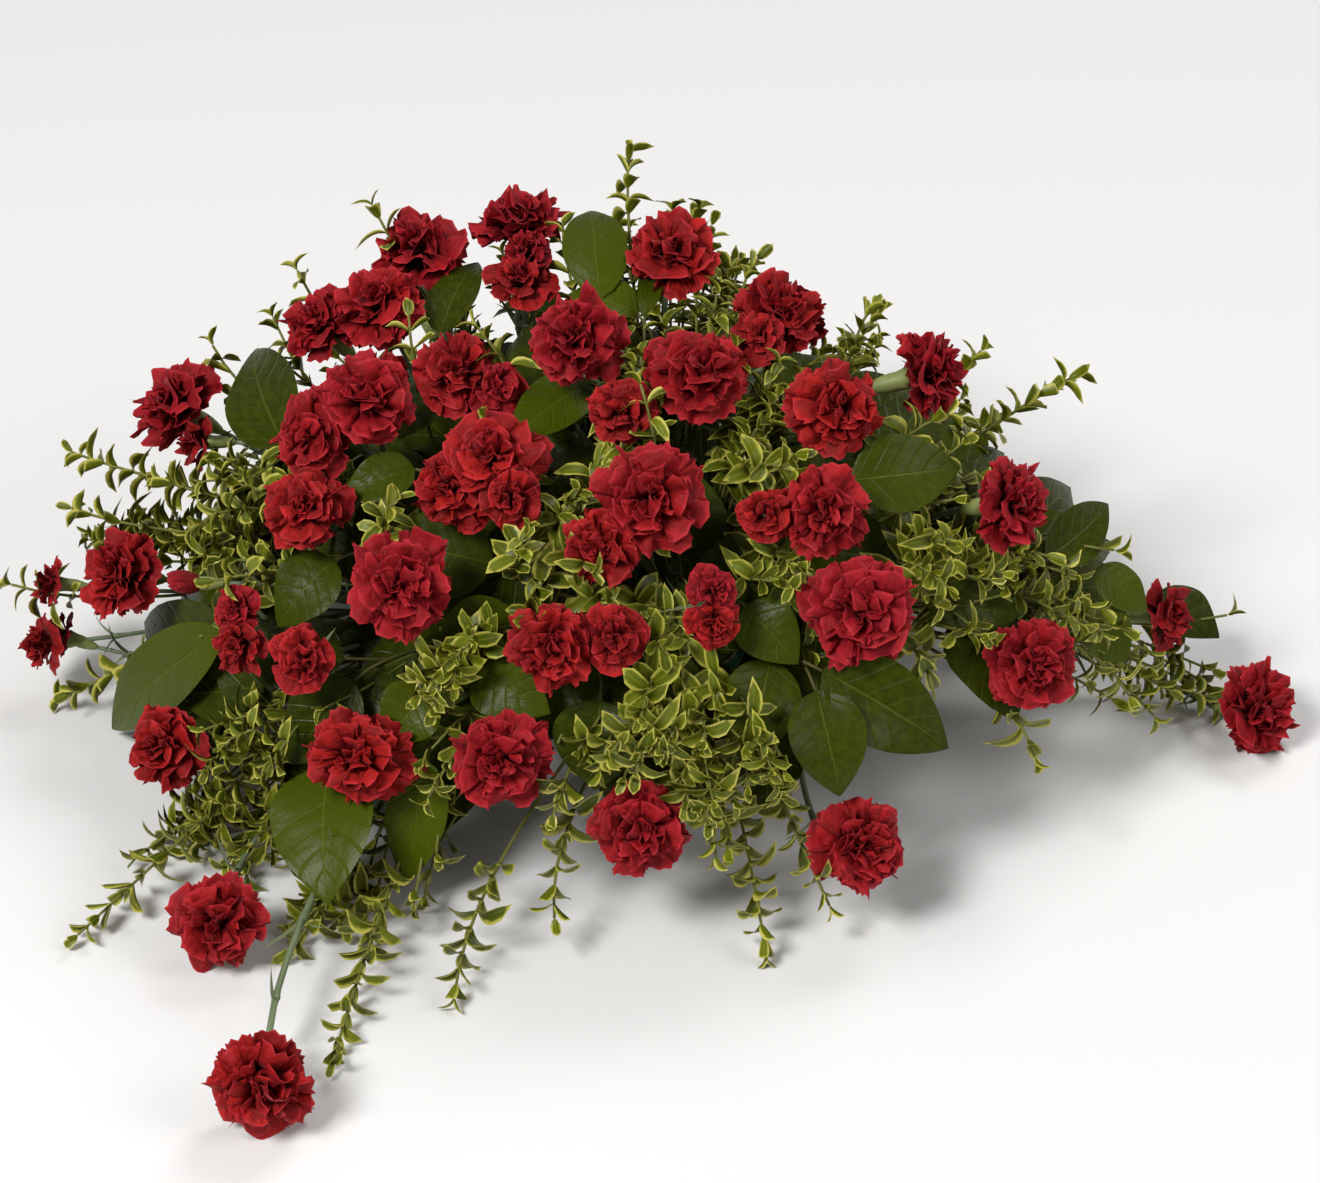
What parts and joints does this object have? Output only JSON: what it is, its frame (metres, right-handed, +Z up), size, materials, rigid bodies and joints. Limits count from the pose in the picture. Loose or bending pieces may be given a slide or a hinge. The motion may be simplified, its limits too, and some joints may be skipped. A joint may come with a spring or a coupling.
{
  "type": "casket spray",
  "caption": "Long low domed spray of red carnations and spray carnations with broad dark leaves and variegated boxwood, its stems set in a foam brick in a plastic saddle.",
  "frame": {"origin": "middle of the underside of the saddle's non-slip pad, on the surface it rests on", "axes": "+X along the spray's length to the right as seen from its front, +Y to the back, +Z up"},
  "size_m": [0.9289, 0.7797, 0.354],
  "materials": {
    "petal": "matte",
    "stem": "satin",
    "salal_leaf": "satin",
    "boxwood_leaf": "satin",
    "floral_foam": "matte",
    "tray": "satin",
    "tape": "satin",
    "pad": "matte"
  },
  "bodies": {
    "root": {"anchor_tape_left": "tape", "anchor_tape_right": "tape", "bloom_back_left_high": "petal", "bloom_back_left_low": "petal", "bloom_back_middle": "petal", "bloom_back_right_high": "petal", "bloom_back_right_low": "petal", "bloom_crown_left": "petal", "bloom_crown_middle": "petal", "bloom_crown_right": "petal", "bloom_heart": "petal", "bloom_heart_top": "petal", "bloom_left_bud": "petal", "bloom_left_heart": "petal", "bloom_left_inner": "petal", "bloom_left_low_heart": "petal", "bloom_left_mini": "petal", "bloom_left_mini_front": "petal", "bloom_left_side": "petal", "bloom_left_tip": "petal", "bloom_left_tip_low": "petal", "bloom_low_far_left": "petal", "bloom_low_left": "petal", "bloom_low_middle": "petal", "bloom_low_pair": "petal", "bloom_middle_inner": "petal", "bloom_middle_pair": "petal", "bloom_mini_pair": "petal", "bloom_reach_left": "petal", "bloom_reach_right": "petal", "bloom_right_end": "petal", "bloom_right_heart": "petal", "bloom_right_low": "petal", "bloom_right_low_heart": "petal", "bloom_right_reach_inner": "petal", "bloom_right_tip": "petal", "bloom_right_upper": "petal", "bloom_trail_end": "petal", "bloom_trail_left": "petal", "bloom_trail_middle": "petal", "bloom_trail_right": "petal", "bloom_trio": "petal", "bloom_upper_left": "petal", "bloom_upper_middle": "petal", "bloom_upper_right": "petal", "boxwood_crown": "boxwood_leaf", "boxwood_front": "boxwood_leaf", "boxwood_left": "boxwood_leaf", "boxwood_right": "boxwood_leaf", "carnation_stems_crown": "stem", "carnation_stems_front": "stem", "carnation_stems_left": "stem", "carnation_stems_right": "stem", "foam_brick": "floral_foam", "nonslip_pad": "pad", "saddle_tray": "tray", "salal_back": "salal_leaf", "salal_left": "salal_leaf", "salal_right": "salal_leaf"}
  },
  "joints": []
}
